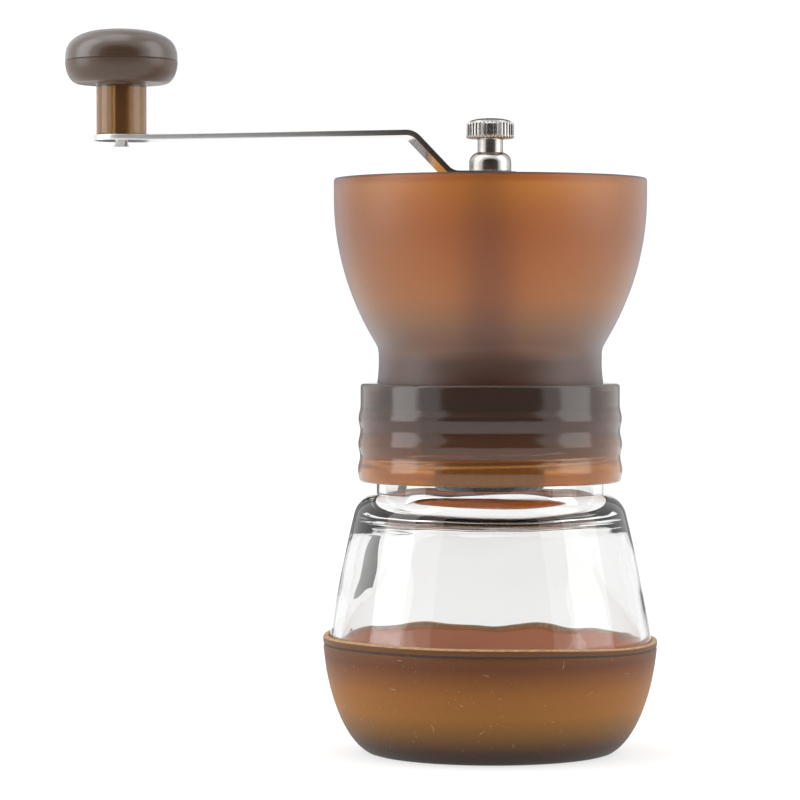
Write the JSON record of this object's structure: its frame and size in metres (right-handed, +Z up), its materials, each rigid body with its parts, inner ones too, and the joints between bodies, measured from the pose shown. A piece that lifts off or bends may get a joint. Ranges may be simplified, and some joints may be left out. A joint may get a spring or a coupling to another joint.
{
  "type": "hand crank coffee grinder",
  "caption": "Hand coffee grinder with crank and knob, amber bean hopper, ceramic burrs, adjusting dial, and a screw-on glass jar in a rubber cover.",
  "frame": {"origin": "on the grinder's axis, at the centre of the cover's flat underside", "axes": "+Z up along the shaft, -X along the crank arm at rest, -Y towards the front"},
  "size_m": [0.1702, 0.0964, 0.2069],
  "materials": {
    "brown_rubber": "matt, slightly translucent",
    "clear_glass": "pressed, slightly wavy",
    "white_silicone": "satin",
    "amber_plastic": "frosted, translucent",
    "ivory_plastic": "satin",
    "white_ceramic": "unglazed",
    "dark_plastic": "satin",
    "steel": "turned",
    "polished_steel": "polished strip",
    "chrome_plate": "bright",
    "brass": "turned",
    "smoke_plastic": "glossy, translucent",
    "brown_plastic": "satin, slightly translucent"
  },
  "bodies": {
    "jar": {"glass_jar": "clear_glass", "base_cover": "brown_rubber"},
    "seal": {"jar_seal": "white_silicone"},
    "hopper": {"hopper": "amber_plastic", "screw_collar": "amber_plastic", "burr_holder": "amber_plastic", "centre_tube": "amber_plastic", "upper_bush": "ivory_plastic", "lower_bush": "ivory_plastic", "thrust_washer": "steel", "outer_burr": "white_ceramic", "burr_retainer": "dark_plastic", "retainer_screws": "steel"},
    "crank": {"shaft": "steel", "crank_arm": "polished_steel", "thumb_nut": "chrome_plate", "knob_pin": "steel", "knob_washer": "steel", "spring_washer": "steel", "burr_spring": "steel"},
    "burr": {"inner_burr": "white_ceramic", "burr_driver": "dark_plastic"},
    "dial": {"adjusting_dial": "dark_plastic", "threaded_insert": "brass"},
    "knob": {"knob_body": "smoke_plastic", "knob_cap": "brown_plastic"}
  },
  "joints": [
    {"name": "hopper_lift", "type": "slide", "parent": "jar", "child": "seal", "axis": [0, 0, 1], "range_m": [0, 0.00635]},
    {"name": "hopper_turn", "type": "hinge", "parent": "seal", "child": "hopper", "pos_m": [0, 0, 0.0984], "axis": [0, 0, 1], "range_deg": [0, 540]},
    {"name": "crank_turn", "type": "hinge", "parent": "hopper", "child": "crank", "pos_m": [0, 0, 0.158], "axis": [0, 0, 1], "continuous": true},
    {"name": "burr_lift", "type": "slide", "parent": "crank", "child": "burr", "axis": [0, 0, 1], "range_m": [-0.0015, 0.001], "deforming": ["burr_spring"]},
    {"name": "adjust_turn", "type": "hinge", "parent": "burr", "child": "dial", "pos_m": [0, 0, 0.0851], "axis": [0, 0, 1], "range_deg": [-540, 360]},
    {"name": "knob_spin", "type": "hinge", "parent": "crank", "child": "knob", "pos_m": [-0.106, 0, 0.19], "axis": [0, 0, 1], "continuous": true}
  ],
  "couplings": [
    {"joint": "hopper_turn", "follows": "hopper_lift", "rad_per_m": 1484.2},
    {"joint": "adjust_turn", "follows": "burr_lift", "rad_per_m": 6283.2}
  ]
}
